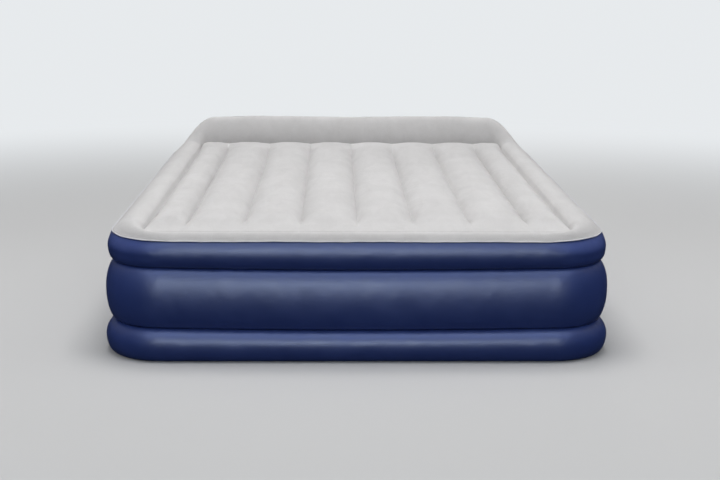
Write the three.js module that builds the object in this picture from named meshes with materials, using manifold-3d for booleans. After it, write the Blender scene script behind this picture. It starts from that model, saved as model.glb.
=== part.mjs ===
// Raised queen-size air mattress with a flocked top and a built-in electric pump.
// Millimetres, +Z up. Origin: on the floor under the middle of the bed.
// +Y is the head end, -Y the foot end, X runs across the bed.
import * as THREE from "three";
import { mergeVertices } from "three/addons/utils/BufferGeometryUtils.js";
import Module from "manifold-3d";

// ------------------------------------------------------------ bed dimensions
// An "inset" is a plan distance inwards from the widest outline of the bed.
const WIDTH = 1520;
const LENGTH = 2030;
const CORNER_R = 180; // plan radius of the corners
const CORNER_STEPS = 5;
const SKIN = 1.2; // thickness of an outer vinyl sheet
const SHEET = 1; // thickness of an inner sheet
const GAP = 0.3; // clearance between welded neighbours
const EDGE_GAP = SHEET / 2 + GAP; // from the middle of a weld to the edge of a band

const SEAM_Z = 360.5; // weld between the flocked rim and the upper tier
const SEAM_IN = 20;
const SEAM_R = 207; // plan radius of the seam, which is rounder than the tiers
const SEAM_SHARE = 0.3; // how much of that rounding the upper tier's widest line has
const UPPER_WAIST_Z = 280; // between upper and middle tiers
const LOWER_WAIST_Z = 99; // between middle and lower tiers
const WAIST_IN = 35;
const UPPER_IN = 8.5; // the tiers bulge a little more towards the floor
const MIDDLE_IN = 3;
const LOWER_IN = 0;
const UPPER_WIDEST_Z = 321; // heights where the tiers are widest
const MIDDLE_WIDEST_Z = 190.5;
const LOWER_WIDEST_Z = 50;
const FOOT_IN = 26; // where the lower tier meets the bottom sheet

const RIM_IN_SIDE = 131.5; // inset of the rim's inner edge
const RIM_IN_FOOT = 78;
const RIM_IN_HEAD = 114;
const RIM_CREST = 398; // height of the rim along the sides
const FOOT_DROP = 16.5; // how much lower it is along the foot
const BOLSTER_CREST = 499; // height of the head bolster
const BOLSTER_POWER = 1.3; // how fast the bolster fades round the head corners

const VALLEY_Z = 368; // line where the channels meet the rim
const WELD_Z = 362; // lines where they meet each other
const CHANNEL_Z = 396; // crest of a channel
const CHANNELS = 8;
const CHANNEL_PITCH = 172.5;

const BEAM_HALF_LENGTH = 850;
const WEB_X = [-420, -140, 140, 420];
const HOLE_R = 45; // air passages in the waist sheets
const PASSAGES = [
  { x: -500, y: -700 },
  { x: 500, y: -700 },
  { x: -500, y: 700 },
  { x: 500, y: 700 },
];

// Rim section from the seam inwards: [share of width, share of height over the seam]
const LOW_RIM = [
  [0.0, 0.0], [0.09, 0.22], [0.2, 0.5], [0.34, 0.77],
  [0.5, 0.95], [0.66, 1.0], [0.86, 0.8], [1.0, 0.5],
]; // sides and foot
const TALL_RIM = [
  [0.0, 0.0], [-0.03, 0.35], [0.06, 0.72], [0.24, 0.95],
  [0.46, 1.0], [0.72, 0.88], [0.93, 0.52], [1.0, 0.11],
]; // head bolster

// ----------------------------------------------------------- pump dimensions
// Pump frame: x as on the bed, y up, z depth into the bed from the outer face
// of the faceplate. Its origin lies on the head wall, given here in bed axes.
const PUMP = { x: -330, y: 999, z: MIDDLE_WIDEST_Z };
const FACEPLATE = { halfWidth: 98, halfHeight: 66, corner: 22 };
const FACEPLATE_DEPTH = 3.5;
const HOUSING = { halfWidth: 86, halfHeight: 54, corner: 14 };
const HOUSING_WALL = 2;
const HOUSING_BACK = 122; // inner face of the back wall
const COLLAR = { halfWidth: 116, halfHeight: 78, corner: 30 };
const COLLAR_WALL = 3;
const COLLAR_BACK = 11.3;
const FIT = GAP + 0.1; // clearance round the collar and round the housing
const SCREW = { x: 88, y: 56 };
const SCREW_PLACES = [-1, 1].flatMap((sideX) =>
  [-1, 1].map((sideY) => ({ x: sideX * SCREW.x, y: sideY * SCREW.y })),
);

const KNOB = { x: 42, y: 14 }; // axis of selector, diverter and valve
const KNOB_R = 27;
const SPINDLE_R = 4;
const SWITCH = { x: 42, y: -38 };
const ROCKER_PIVOT_Z = 3;
const ROCKER_TILT = -8; // degrees
const FAN = { x: -40, y: 0 }; // axis of motor and fan
const FAN_R = 37;
const SHAFT_R = 2.3;
const SHAFT_BORE_R = SHAFT_R + GAP;

const BAY = { x: [-80, -8], y: [-22.2, 46] }; // cord bay opening
const BAY_MID_X = (BAY.x[0] + BAY.x[1]) / 2;
const DOOR_GAP = 0.6;
const HINGE = { y: -18.6, z: 2.6 };
const HINGE_R = 2.6;
const TRAY = { x: BAY_MID_X, y: 12 };
const CORD_EXIT = { y: 30, z: 38 };
const PLUG = { x: -43.5, y: 4 };

// ------------------------------------------------------------------ materials
const FINISH = {
  flock: { color: 0xcfcdcc, roughness: 0.95 },
  navy: { color: 0x2b3860, roughness: 0.42 },
  innerSheet: { color: 0x8f97a8, roughness: 0.5 },
  charcoal: { color: 0x2a2d33, roughness: 0.55 },
  greyAbs: { color: 0x6b7078, roughness: 0.5 },
  blackRubber: { color: 0x17181a, roughness: 0.8 },
  steel: { color: 0xb9bcc0, roughness: 0.35, metalness: 1 },
  brass: { color: 0xc6a15a, roughness: 0.3, metalness: 1 },
  foam: { color: 0x3b3d40, roughness: 0.95 },
  spring: { color: 0xa9adb2, roughness: 0.3, metalness: 1 },
  redRocker: { color: 0x9c2b24, roughness: 0.4 },
  armature: { color: 0xa86b3c, roughness: 0.45, metalness: 0.6 },
  seal: { color: 0x8c8f92, roughness: 0.7 },
};

// -------------------------------------------------------------- solid helpers
const wasm = await Module();
wasm.setup();

// closed geometry to solid, turned outside in where its faces point inwards
const solid = (geometry) => {
  const bare = geometry.index ? geometry.toNonIndexed() : geometry.clone();
  for (const key of Object.keys(bare.attributes))
    if (key !== "position") bare.deleteAttribute(key);
  const merged = mergeVertices(bare, 1e-4);
  const triVerts = new Uint32Array(merged.index.array);
  const vertProperties = merged.attributes.position.array;
  const make = () =>
    new wasm.Manifold(new wasm.Mesh({ numProp: 3, vertProperties, triVerts }));
  const made = make();
  if (made.volume() >= 0) return made;
  for (let i = 0; i < triVerts.length; i += 3)
    [triVerts[i + 1], triVerts[i + 2]] = [triVerts[i + 2], triVerts[i + 1]];
  return make();
};
const solidFrom = (positions, indices) => {
  const geometry = new THREE.BufferGeometry();
  geometry.setAttribute("position", new THREE.Float32BufferAttribute(positions, 3));
  geometry.setIndex(indices);
  return solid(geometry);
};
const toGeometry = (shape) => {
  const mesh = shape.getMesh();
  const geometry = new THREE.BufferGeometry();
  const positions = new Float32Array(mesh.vertProperties);
  geometry.setAttribute("position", new THREE.BufferAttribute(positions, 3));
  geometry.setIndex(new THREE.BufferAttribute(new Uint32Array(mesh.triVerts), 1));
  geometry.computeVertexNormals();
  return geometry;
};
const add = (first, ...rest) => rest.reduce((a, b) => a.add(b), first);
const cut = (first, ...rest) => rest.reduce((a, b) => a.subtract(b), first);
const put = (parent, name, shape, finish) => {
  const mesh = new THREE.Mesh(toGeometry(shape), new THREE.MeshStandardMaterial(finish));
  mesh.name = name;
  parent.add(mesh);
  return mesh;
};

// Ranges are [from, to] pairs; places are { x, y }.
const about = (middle, half) => [middle - half, middle + half];
const shrink = ([from, to], by) => [from + by, to - by];
const mid = ([from, to]) => (from + to) / 2;
const span = ([from, to]) => to - from;
const mix = (a, b, share) => a + (b - a) * share;

const box = (xRange, yRange, zRange) => {
  const geometry = new THREE.BoxGeometry(span(xRange), span(yRange), span(zRange));
  geometry.translate(mid(xRange), mid(yRange), mid(zRange));
  return solid(geometry);
};
// cylinder whose axis is parallel to Z
const cylinder = (radius, zRange, place, segments = 24) => {
  const geometry = new THREE.CylinderGeometry(radius, radius, span(zRange), segments);
  geometry.rotateX(Math.PI / 2);
  geometry.translate(place.x, place.y, mid(zRange));
  return solid(geometry);
};
// cylinder whose axis is parallel to X
const cylinderX = (radius, xRange, axis, segments = 20) => {
  const geometry = new THREE.CylinderGeometry(radius, radius, span(xRange), segments);
  geometry.rotateZ(Math.PI / 2);
  geometry.translate(mid(xRange), axis.y, axis.z);
  return solid(geometry);
};
const tube = (outerR, innerR, zRange, place, segments) =>
  cut(
    cylinder(outerR, zRange, place, segments),
    cylinder(innerR, shrink(zRange, -1), place, segments),
  );
// turned profile of [radius, z] pairs about an axis parallel to Z
const turned = (profile, place, segments) => {
  const points = profile.map(([radius, z]) => new THREE.Vector2(radius, z));
  const geometry = new THREE.LatheGeometry(points, segments);
  geometry.rotateX(Math.PI / 2);
  geometry.translate(place.x, place.y, 0);
  return solid(geometry);
};
const rect = (halfWidth, halfHeight, corner) => ({ halfWidth, halfHeight, corner });
const grow = ({ halfWidth, halfHeight, corner }, by) =>
  rect(halfWidth + by, halfHeight + by, corner + by);
// slab with rounded corners, square to Z
const plate = (outline, zRange, place = { x: 0, y: 0 }, curveSegments = 3) => {
  const { halfWidth, halfHeight, corner } = outline;
  const [xMin, xMax] = about(place.x, halfWidth);
  const [yMin, yMax] = about(place.y, halfHeight);
  const [innerX, innerY] = [shrink([xMin, xMax], corner), shrink([yMin, yMax], corner)];
  const quarter = Math.PI / 2;
  const shape = new THREE.Shape();
  shape.moveTo(innerX[0], yMin);
  shape.lineTo(innerX[1], yMin);
  shape.absarc(innerX[1], innerY[0], corner, -quarter, 0, false);
  shape.lineTo(xMax, innerY[1]);
  shape.absarc(innerX[1], innerY[1], corner, 0, quarter, false);
  shape.lineTo(innerX[0], yMax);
  shape.absarc(innerX[0], innerY[1], corner, quarter, Math.PI, false);
  shape.lineTo(xMin, innerY[0]);
  shape.absarc(innerX[0], innerY[0], corner, Math.PI, 3 * quarter, false);
  const geometry = new THREE.ExtrudeGeometry(shape, {
    depth: span(zRange),
    bevelEnabled: false,
    curveSegments,
  });
  geometry.translate(0, 0, zRange[0]);
  return solid(geometry);
};
// five-sided bar along a smooth curve
const bar = (points, radius, steps) => {
  const extrudePath = new THREE.CatmullRomCurve3(
    points.map((point) => new THREE.Vector3(...point)),
    false,
    "centripetal",
  );
  const sides = 5;
  const corners = [];
  for (let i = 0; i < sides; i++) {
    const angle = (i / sides) * 2 * Math.PI;
    corners.push(new THREE.Vector2(radius * Math.cos(angle), radius * Math.sin(angle)));
  }
  const section = new THREE.Shape(corners);
  section.closePath();
  return solid(
    new THREE.ExtrudeGeometry(section, {
      steps,
      extrudePath,
      bevelEnabled: false,
      curveSegments: 1,
    }),
  );
};

// ---------------------------------------------------------- envelope outline
// Stations round the plan outline, anticlockwise from the foot corner at +X.
// Each has a corner centre (x, y) and an outward direction (outX, outY).
const makeStations = () => {
  const stations = [];
  const x = WIDTH / 2 - CORNER_R;
  const y = LENGTH / 2 - CORNER_R;
  const centres = [[x, -y], [x, y], [-x, y], [-x, -y]];
  const push = (centreX, centreY, degrees, onCorner) => {
    const angle = (degrees * Math.PI) / 180;
    const [outX, outY] = [Math.cos(angle), Math.sin(angle)];
    stations.push({ x: centreX, y: centreY, outX, outY, onCorner });
  };
  centres.forEach(([centreX, centreY], k) => {
    const start = (k - 1) * 90;
    for (let i = 0; i <= CORNER_STEPS; i++)
      push(centreX, centreY, start + (90 * i) / CORNER_STEPS, true);
    // one more half way along the straight that follows
    const [nextX, nextY] = centres[(k + 1) % 4];
    push((centreX + nextX) / 2, (centreY + nextY) / 2, start + 90, false);
  });
  return stations;
};
const stations = makeStations();

// positions of a line of [inset, z] pairs, repeated at every station
const pointsRound = (lineAt) =>
  stations.flatMap((station) =>
    lineAt(station).flatMap(([inset, z]) => [
      station.x + station.outX * (CORNER_R - inset),
      station.y + station.outY * (CORNER_R - inset),
      z,
    ]),
  );
// closed section of [inset, z] pairs swept round the outline
const sweep = (sectionAt) => {
  const positions = pointsRound(sectionAt);
  const indices = [];
  const count = stations.length;
  const size = sectionAt(stations[0]).length;
  for (let i = 0; i < count; i++)
    for (let j = 0; j < size; j++) {
      const here = i * size + j;
      const hereNext = i * size + ((j + 1) % size);
      const there = ((i + 1) % count) * size + j;
      const thereNext = ((i + 1) % count) * size + ((j + 1) % size);
      // the inner half of a section is listed backwards, so its quads are split
      // the other way to keep both skins parallel
      if (j < size / 2) indices.push(here, hereNext, there, hereNext, thereNext, there);
      else indices.push(here, hereNext, thereNext, here, thereNext, there);
    }
  return solidFrom(positions, indices);
};
// solid filled to the middle of the bed within an outer [inset, z] line
const filled = (line, extraInset = () => 0) => {
  const positions = pointsRound((station) =>
    line.map(([inset, z]) => [inset + extraInset(station), z]),
  );
  const indices = [];
  const count = stations.length;
  const size = line.length;
  const bottomCentre = count * size;
  positions.push(0, 0, line[0][1], 0, 0, line[size - 1][1]);
  for (let i = 0; i < count; i++) {
    const here = i * size;
    const there = ((i + 1) % count) * size;
    for (let j = 0; j + 1 < size; j++) {
      indices.push(here + j, here + j + 1, there + j);
      indices.push(here + j + 1, there + j + 1, there + j);
    }
    indices.push(bottomCentre, here, there);
    indices.push(bottomCentre + 1, there + size - 1, here + size - 1);
  }
  return solidFrom(positions, indices);
};

// the line moved by the skin thickness towards the inside of the bed
const innerSide = (line) =>
  line.map(([inset, z], i) => {
    const [inset0, z0] = line[Math.max(0, i - 1)];
    const [inset1, z1] = line[Math.min(line.length - 1, i + 1)];
    const length = Math.hypot(inset1 - inset0, z1 - z0);
    return [
      inset + ((z1 - z0) / length) * SKIN,
      z - ((inset1 - inset0) / length) * SKIN,
    ];
  });
const skinOf = (line) => {
  const inner = innerSide(line);
  // both ends are cut level so that neighbours can be welded to them
  inner[0][1] = line[0][1];
  inner.at(-1)[1] = line.at(-1)[1];
  return [...line, ...inner.reverse()];
};

// outer line of a tier from its lower edge up: two quarter ellipses that meet
// at the widest point; all three points are [inset, z]
const bulge = (low, widest, high, steps = 3) => {
  const line = [];
  for (let i = -steps; i <= steps; i++) {
    const angle = ((Math.abs(i) / steps) * Math.PI) / 2;
    const end = i < 0 ? low : high;
    line.push([
      mix(widest[0], end[0], 1 - Math.cos(angle)),
      mix(widest[1], end[1], Math.sin(angle)),
    ]);
  }
  return line;
};
// extra inset that turns a corner of the seam into an arc of radius SEAM_R
const seamRounding = ({ outX, outY, onCorner }) => {
  if (!onCorner) return 0;
  const plainR = CORNER_R - SEAM_IN;
  const shift = SEAM_R - plainR; // arc centre's shift towards the middle, in x and y
  const along = shift * (Math.abs(outX) + Math.abs(outY));
  return plainR - (Math.sqrt(along ** 2 - 2 * shift ** 2 + SEAM_R ** 2) - along);
};
const upperLine = (station) =>
  bulge(
    [WAIST_IN, UPPER_WAIST_Z + EDGE_GAP],
    [UPPER_IN + SEAM_SHARE * seamRounding(station), UPPER_WIDEST_Z],
    [SEAM_IN + seamRounding(station), SEAM_Z - EDGE_GAP],
  );
const middleLine = bulge(
  [WAIST_IN, LOWER_WAIST_Z + EDGE_GAP],
  [MIDDLE_IN, MIDDLE_WIDEST_Z],
  [WAIST_IN, UPPER_WAIST_Z - EDGE_GAP],
  4,
);
const lowerLine = bulge(
  [FOOT_IN, 0],
  [LOWER_IN, LOWER_WIDEST_Z],
  [WAIST_IN, LOWER_WAIST_Z - EDGE_GAP],
);

// ----------------------------------------------------------------- flocked rim
// how far a station belongs to the head or the foot, 0 along the sides
const headShare = ({ outY }) => Math.max(0, outY) ** BOLSTER_POWER;
const footShare = ({ outY }) => Math.min(0, outY) ** 2;
const rimInset = (station) =>
  RIM_IN_SIDE +
  (RIM_IN_HEAD - RIM_IN_SIDE) * headShare(station) +
  (RIM_IN_FOOT - RIM_IN_SIDE) * footShare(station);

// a low tube along the sides and foot, a high bolster at the head
const rimSection = (station) => {
  const head = headShare(station);
  const foot = footShare(station);
  const crest = mix(RIM_CREST, BOLSTER_CREST, head) - FOOT_DROP * foot;
  const start = SEAM_IN + seamRounding(station);
  const bottom = SEAM_Z + EDGE_GAP;
  const line = LOW_RIM.map(([lowAcross, lowUp], i) => {
    const [tallAcross, tallUp] = TALL_RIM[i];
    return [
      mix(start, rimInset(station), mix(lowAcross, tallAcross, head)),
      mix(bottom, crest, mix(lowUp, tallUp, head)),
    ];
  });
  const last = line.length - 1;
  line[last][1] = VALLEY_Z + 1 + 8 * foot; // inner edge, a little higher at the foot
  const inner = innerSide(line);
  inner[0] = [line[0][0] + SKIN, line[0][1]];
  inner[last] = [line[last][0], line[last][1] - SKIN];
  return [...line, ...inner.reverse()];
};

// ------------------------------------------------------------ sleeping surface
// valley n lies between channels n and n + 1
const valleyX = (n) => (n - CHANNELS / 2) * CHANNEL_PITCH;

// lengthwise channels, domed at both ends
const topSheet = () => {
  const STEPS = 4; // columns per channel
  const FOOT_RAMP = 170; // length of the gentle ramp up from the foot rim
  const HEAD_ROUND = 50; // length of the round end at the bolster
  const FOOT_LIFT = 11; // how much the sheet rises at the foot edge
  const LIFT_LENGTH = 140;
  const OVERLAP = 6; // extra width, trimmed off below
  const EDGE_Z = VALLEY_Z - 2;
  const TRIM = { inset: 0.7, reach: 40 };
  const halfWidth = WIDTH / 2 - RIM_IN_SIDE + OVERLAP;
  const footY = -LENGTH / 2 + RIM_IN_FOOT;
  const headY = LENGTH / 2 - RIM_IN_HEAD;
  const rows = [
    ...[0, 55, 110, FOOT_RAMP].map((offset) => footY + offset),
    0,
    ...[HEAD_ROUND, 12, 0].map((offset) => headY - offset),
  ];
  const columns = CHANNELS * STEPS;
  const smooth = (t) => {
    const u = Math.min(1, Math.max(0, t));
    return u * u * (3 - 2 * u);
  };
  const channelEdge = (n) => {
    if (n === 0) return -halfWidth;
    return n === CHANNELS ? halfWidth : valleyX(n);
  };
  // share of the full channel height at a given y
  const fullness = (y) => {
    const end = Math.min(1, (headY - y) / HEAD_ROUND);
    return smooth((y - footY) / FOOT_RAMP) * Math.sqrt(Math.max(0, 1 - (1 - end) ** 2));
  };
  const positions = [];
  for (const drop of [0, SKIN])
    for (const y of rows)
      for (let i = 0; i <= columns; i++) {
        const channel = Math.floor(Math.min(i, columns - 1) / STEPS);
        const across = i / STEPS - channel;
        const x = mix(channelEdge(channel), channelEdge(channel + 1), across);
        const arch = Math.sqrt(Math.max(0, 1 - (2 * across - 1) ** 2));
        const sideShare = Math.max(0, 1 - Math.min(i, columns - i) / STEPS);
        const lift = FOOT_LIFT * (1 - smooth((y - footY) / LIFT_LENGTH));
        const base = EDGE_Z + lift - (EDGE_Z - WELD_Z) * fullness(y) * (1 - sideShare);
        positions.push(x, y, base + (CHANNEL_Z - base) * arch * fullness(y) - drop);
      }
  const indices = [];
  const row = columns + 1;
  const under = rows.length * row; // index offset of the underside
  for (let j = 0; j + 1 < rows.length; j++)
    for (let i = 0; i < columns; i++) {
      const a = j * row + i;
      indices.push(a, a + 1, a + row, a + 1, a + row + 1, a + row);
      const b = a + under;
      indices.push(b, b + row, b + 1, b + 1, b + row, b + row + 1);
    }
  const wall = (a, b) => indices.push(a, a + under, b, b, a + under, b + under);
  for (let i = 0; i < columns; i++) {
    wall(i, i + 1);
    const headEdge = (rows.length - 1) * row + i;
    wall(headEdge + 1, headEdge);
  }
  for (let j = 0; j + 1 < rows.length; j++) {
    wall((j + 1) * row, j * row);
    wall(j * row + columns, (j + 1) * row + columns);
  }
  // cut to the inside of the rim
  const insideRim = filled(
    [
      [TRIM.inset, VALLEY_Z - TRIM.reach],
      [TRIM.inset, CHANNEL_Z + TRIM.reach],
    ],
    rimInset,
  );
  return solidFrom(positions, indices).intersect(insideRim);
};

// --------------------------------------------------------------- inner sheets
const waistSheet = (waistZ) => {
  const inset = WAIST_IN - 1;
  const zRange = about(waistZ, SHEET / 2);
  return cut(
    filled(zRange.map((z) => [inset, z])),
    ...PASSAGES.map((place) => cylinder(HOLE_R, shrink(zRange, -5), place, 12)),
  );
};
const bottomSheet = () => {
  const inset = FOOT_IN + SKIN + 2 * GAP;
  return filled([[inset, 0], [inset, SKIN]]);
};
// upright lengthwise sheet
const web = (x, zRange) => box(about(x, SHEET / 2), about(0, BEAM_HALF_LENGTH), zRange);

// ---------------------------------------------------------------- pump collar
const toBed = new THREE.Matrix4()
  .makeRotationX(Math.PI / 2)
  .setPosition(PUMP.x, PUMP.y, PUMP.z);
const inBedFrame = (shape) => solid(toGeometry(shape).applyMatrix4(toBed));

const collarHole = () =>
  inBedFrame(plate({ ...grow(COLLAR, FIT), corner: COLLAR.corner }, [-40, 60]));

// soft vinyl collar welded into the wall; its lip follows the middle tier
const pumpCollar = () => {
  const lip = cut(
    plate(COLLAR, [-30, COLLAR_BACK]),
    plate(grow(COLLAR, -COLLAR_WALL), [-31, 12]),
  );
  const frame = cut(
    plate(COLLAR, [COLLAR_BACK - COLLAR_WALL, COLLAR_BACK]),
    plate(grow(HOUSING, FIT), [7, 13]),
  );
  return add(inBedFrame(lip).intersect(filled(middleLine)), inBedFrame(frame));
};

// -------------------------------------------------------- housing and faceplate
const screwHoles = (zRange) => SCREW_PLACES.map((place) => cylinder(1.9, zRange, place, 12));

const pumpHousing = () => {
  const flange = plate(rect(96.5, 64.5, 21), [5.3, 8]);
  const valveHole = cylinder(17, [HOUSING_BACK - 2, HOUSING_BACK + 5], KNOB);
  return cut(
    add(plate(HOUSING, [6, HOUSING_BACK + HOUSING_WALL]), flange),
    plate(grow(HOUSING, -HOUSING_WALL), [4, HOUSING_BACK]),
    valveHole,
    ...screwHoles([4, 9]),
  );
};

const pumpFaceplate = () => {
  const THROUGH = [-1, 5];
  const SLOTS = { count: 7, firstX: -76, pitch: 9.8, width: 5, y: [-47, -32] };
  const LUG = { y: [-22, -15], z: [FACEPLATE_DEPTH - 0.1, 6.5] };
  const lugEndX = about(BAY_MID_X, 40);
  const slots = [];
  for (let i = 0; i < SLOTS.count; i++) {
    const x = SLOTS.firstX + i * SLOTS.pitch;
    slots.push(box([x, x + SLOTS.width], SLOTS.y, [-1, 5]));
  }
  return cut(
    add(
      plate(FACEPLATE, [0, FACEPLATE_DEPTH]),
      // hinge lugs at both ends of the door
      box([lugEndX[0], BAY.x[0] - DOOR_GAP], LUG.y, LUG.z),
      box([BAY.x[1] + DOOR_GAP, lugEndX[1]], LUG.y, LUG.z),
    ),
    cylinder(29.5, [-1, 1.2], KNOB, 28), // shallow knob recess
    cylinder(SPINDLE_R + 0.6, THROUGH, KNOB, 24),
    box(about(SWITCH.x, 14.4), about(SWITCH.y, 8.4), THROUGH),
    box(BAY.x, BAY.y, THROUGH),
    cylinderX(1.3, about(BAY_MID_X, 39), HINGE, 12), // hinge pin bore
    ...slots,
    ...screwHoles(THROUGH),
  );
};

const faceplateGasket = () =>
  cut(
    plate(rect(95, 63, 20), [3.8, 5.0]),
    plate(rect(84.5, 52.5, 12), [3, 6]),
    ...screwHoles([3, 6]),
  );

// pointed screw with a cross recess in its head
const faceplateScrew = (place) => {
  const PROFILE = [
    [0, -1.9], [2.4, -1.8], [3.4, -0.9], [3.4, -0.3], [1.6, -0.3], [1.6, 6.8], [0, 7.8],
  ]; // [radius, z]
  const RECESS = { halfLength: 2, halfWidth: 0.4, z: [-3, -1] };
  const { halfLength, halfWidth, z } = RECESS;
  return cut(
    turned(PROFILE, place, 12),
    box(about(place.x, halfLength), about(place.y, halfWidth), z),
    box(about(place.x, halfWidth), about(place.y, halfLength), z),
  );
};

// -------------------------------------------------------- selector and diverter
const selectorKnob = () => {
  const DISC = [
    [0, -0.7], [KNOB_R - 0.6, -0.7], [KNOB_R, -1.4],
    [KNOB_R, -3.6], [KNOB_R - 1.6, -5], [0, -5],
  ]; // [radius, z]
  const grip = plate(rect(5.6, 24.5, 5.4), [-12.6, -4.8], KNOB);
  const pointerGroove = box(about(KNOB.x, 0.9), [KNOB.y + 12, KNOB.y + 25], [-14, -11.6]);
  return cut(add(turned(DISC, KNOB, 40), grip), pointerGroove);
};

const PORT_Z = [24, 52];
// window towards -x, shared by drum and sleeve
const sidePort = () => box([KNOB.x - 30, KNOB.x], about(KNOB.y, 10), PORT_Z);
// cup with its floor towards the faceplate
const diverterDrum = () =>
  cut(cylinder(20, [14.3, 60], KNOB), cylinder(18, [16.3, 61], KNOB), sidePort());
const diverterSleeve = () =>
  cut(
    tube(23, 20.6, [12, 92], KNOB),
    sidePort(),
    box(about(KNOB.x, 10), [KNOB.y, KNOB.y + 30], PORT_Z),
  );

// --------------------------------------------------------------- rocker switch
const switchBody = () => {
  const bezel = plate(rect(17, 11, 2.5), [-1.1, -0.3], SWITCH);
  const body = box(about(SWITCH.x, 14), about(SWITCH.y, 8), [-0.5, 18]);
  const cavity = box(about(SWITCH.x, 13.2), about(SWITCH.y, 6.8), [-2, 15]);
  return cut(add(bezel, body), cavity);
};
const rockerSwitch = () => {
  const WIDTH_Y = 12.4;
  const PROFILE = [
    [-12, -5.2], [0, -3.2], [12, -5.2], [12, -1], [7, 5], [-7, 5], [-12, -1],
  ]; // [x, depth], about the pivot
  const shape = new THREE.Shape(PROFILE.map((point) => new THREE.Vector2(...point)));
  const geometry = new THREE.ExtrudeGeometry(shape, { depth: WIDTH_Y, bevelEnabled: false });
  geometry.translate(0, 0, -WIDTH_Y / 2);
  geometry.rotateX(Math.PI / 2); // the shape's second axis becomes depth
  return solid(geometry);
};

// -------------------------------------------------------------------- cord bay
const cordDoor = () => {
  const doorX = shrink(BAY.x, DOOR_GAP);
  return cut(
    add(
      box(doorX, [HINGE.y, BAY.y[1] - DOOR_GAP], [0, 2.4]),
      cylinderX(HINGE_R, doorX, HINGE),
    ),
    cylinderX(1.45, shrink(BAY.x, -5), HINGE, 12), // hinge pin bore
    cylinder(7, [-1, 4], { x: BAY_MID_X, y: BAY.y[1] + 1 }, 24), // finger notch
  );
};
const cordTray = () => {
  const WALL = 1.6;
  const outline = rect(37, 36, 4);
  return cut(
    plate(outline, [7, 46], TRAY),
    plate(grow(outline, -WALL), [6, 46 - WALL], TRAY),
    cylinderX(4.4, [-12, -2], CORD_EXIT, 16),
  );
};
// in through the grommet, coiled towards the door, then up to the plug
const powerCord = () => {
  const LEAD_IN = [[2, 30, 38], [-5, 30, 38], [-12, 30.6, 38], [-21, 33.4, 38]];
  const LEAD_OUT = [[-68.5, -2.2, 25.5], [-64, -4.0, 27.5], [-58.6, -3, 30]];
  const COIL = { radius: 28, turns: 2.3, pitch: 5.9, startDegrees: 70, points: 28 };
  const coil = [];
  for (let i = 0; i <= COIL.points; i++) {
    const turn = (COIL.turns * i) / COIL.points;
    const angle = ((COIL.startDegrees + 360 * turn) * Math.PI) / 180;
    coil.push([
      TRAY.x + COIL.radius * Math.cos(angle),
      TRAY.y + COIL.radius * Math.sin(angle),
      CORD_EXIT.z - COIL.pitch * turn,
    ]);
  }
  return bar([...LEAD_IN, ...coil, ...LEAD_OUT], 2.45, 64);
};
// sleeve with a flange on either side of the tray wall
const cordGrommet = () =>
  cut(
    add(
      cylinderX(4.0, [-9.6, -6.0], CORD_EXIT, 16),
      cylinderX(5.6, [-9.9, -8.9], CORD_EXIT, 16),
      cylinderX(5.6, [-6.7, -5.7], CORD_EXIT, 16),
    ),
    cylinderX(3.15, [-12, -3], CORD_EXIT, 16),
  );
const plugBlade = (offsetX) =>
  box(about(PLUG.x + offsetX, 0.8), about(PLUG.y, 3.2), [9, 25.7]);

// --------------------------------------------------------------- motor and fan
const motorCan = () =>
  cut(
    cylinder(23, [52, 86], FAN),
    cylinder(21.5, [51, 84.5], FAN),
    cylinder(3, [80, 88], FAN, 16),
  );
const motorEndCap = () =>
  cut(cylinder(23, [48.6, 51.6], FAN), cylinder(2.8, [49.8, 53], FAN, 16));
const motorArmature = () =>
  cut(
    add(cylinder(15, [58, 80], FAN), cylinder(8, [54, 58.1], FAN)),
    cylinder(SHAFT_BORE_R, [50, 90], FAN, 16),
  );
// ring round the can with an arm up and an arm down
const motorMount = () => {
  const zRange = [60, 72];
  return cut(
    add(cylinder(26.5, zRange, FAN), box(about(FAN.x, 6), [-51.6, 51.6], zRange)),
    cylinder(23.4, shrink(zRange, -1), FAN),
  );
};
const fanImpeller = () => {
  const BLADE = { length: 26, thickness: 1.4, depth: 11.5, count: 8 };
  const BLADE_PLACE = { x: 23.5, y: 6, z: 110 }; // off the axis before it is turned
  const blades = [];
  for (let i = 0; i < BLADE.count; i++) {
    const blade = new THREE.BoxGeometry(BLADE.length, BLADE.thickness, BLADE.depth);
    blade.translate(BLADE_PLACE.x, BLADE_PLACE.y, 0);
    blade.rotateZ((i / BLADE.count) * 2 * Math.PI);
    blade.translate(FAN.x, FAN.y, BLADE_PLACE.z);
    blades.push(solid(blade));
  }
  const disc = cylinder(FAN_R, [115, 117], FAN, 28);
  const hub = cylinder(13, [104.5, 117], FAN);
  return cut(add(disc, hub, ...blades), cylinder(SHAFT_BORE_R, [100, 120], FAN, 16));
};
const impellerNut = () =>
  cut(cylinder(4.6, [117.3, 120.4], FAN, 6), cylinder(SHAFT_BORE_R, [116, 122], FAN, 16));
// tray open towards the back, joining the fan to the valve
const fanCasing = () => {
  const OUTER_Z = [98.5, 121.6];
  const INNER_Z = [100.2, 123];
  const FLOOR_HOLE_Z = [97, 102];
  return cut(
    add(
      cylinder(42, OUTER_Z, FAN, 28),
      box([FAN.x, KNOB.x], [-8, 36], OUTER_Z),
      cylinder(24, OUTER_Z, KNOB),
    ),
    cylinder(40, INNER_Z, FAN, 28),
    box([FAN.x + 10, KNOB.x], [-6.2, 34.2], INNER_Z),
    cylinder(22, INNER_Z, KNOB),
    cylinder(15, FLOOR_HOLE_Z, FAN),
    cylinder(19, FLOOR_HOLE_Z, KNOB),
  );
};

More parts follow.
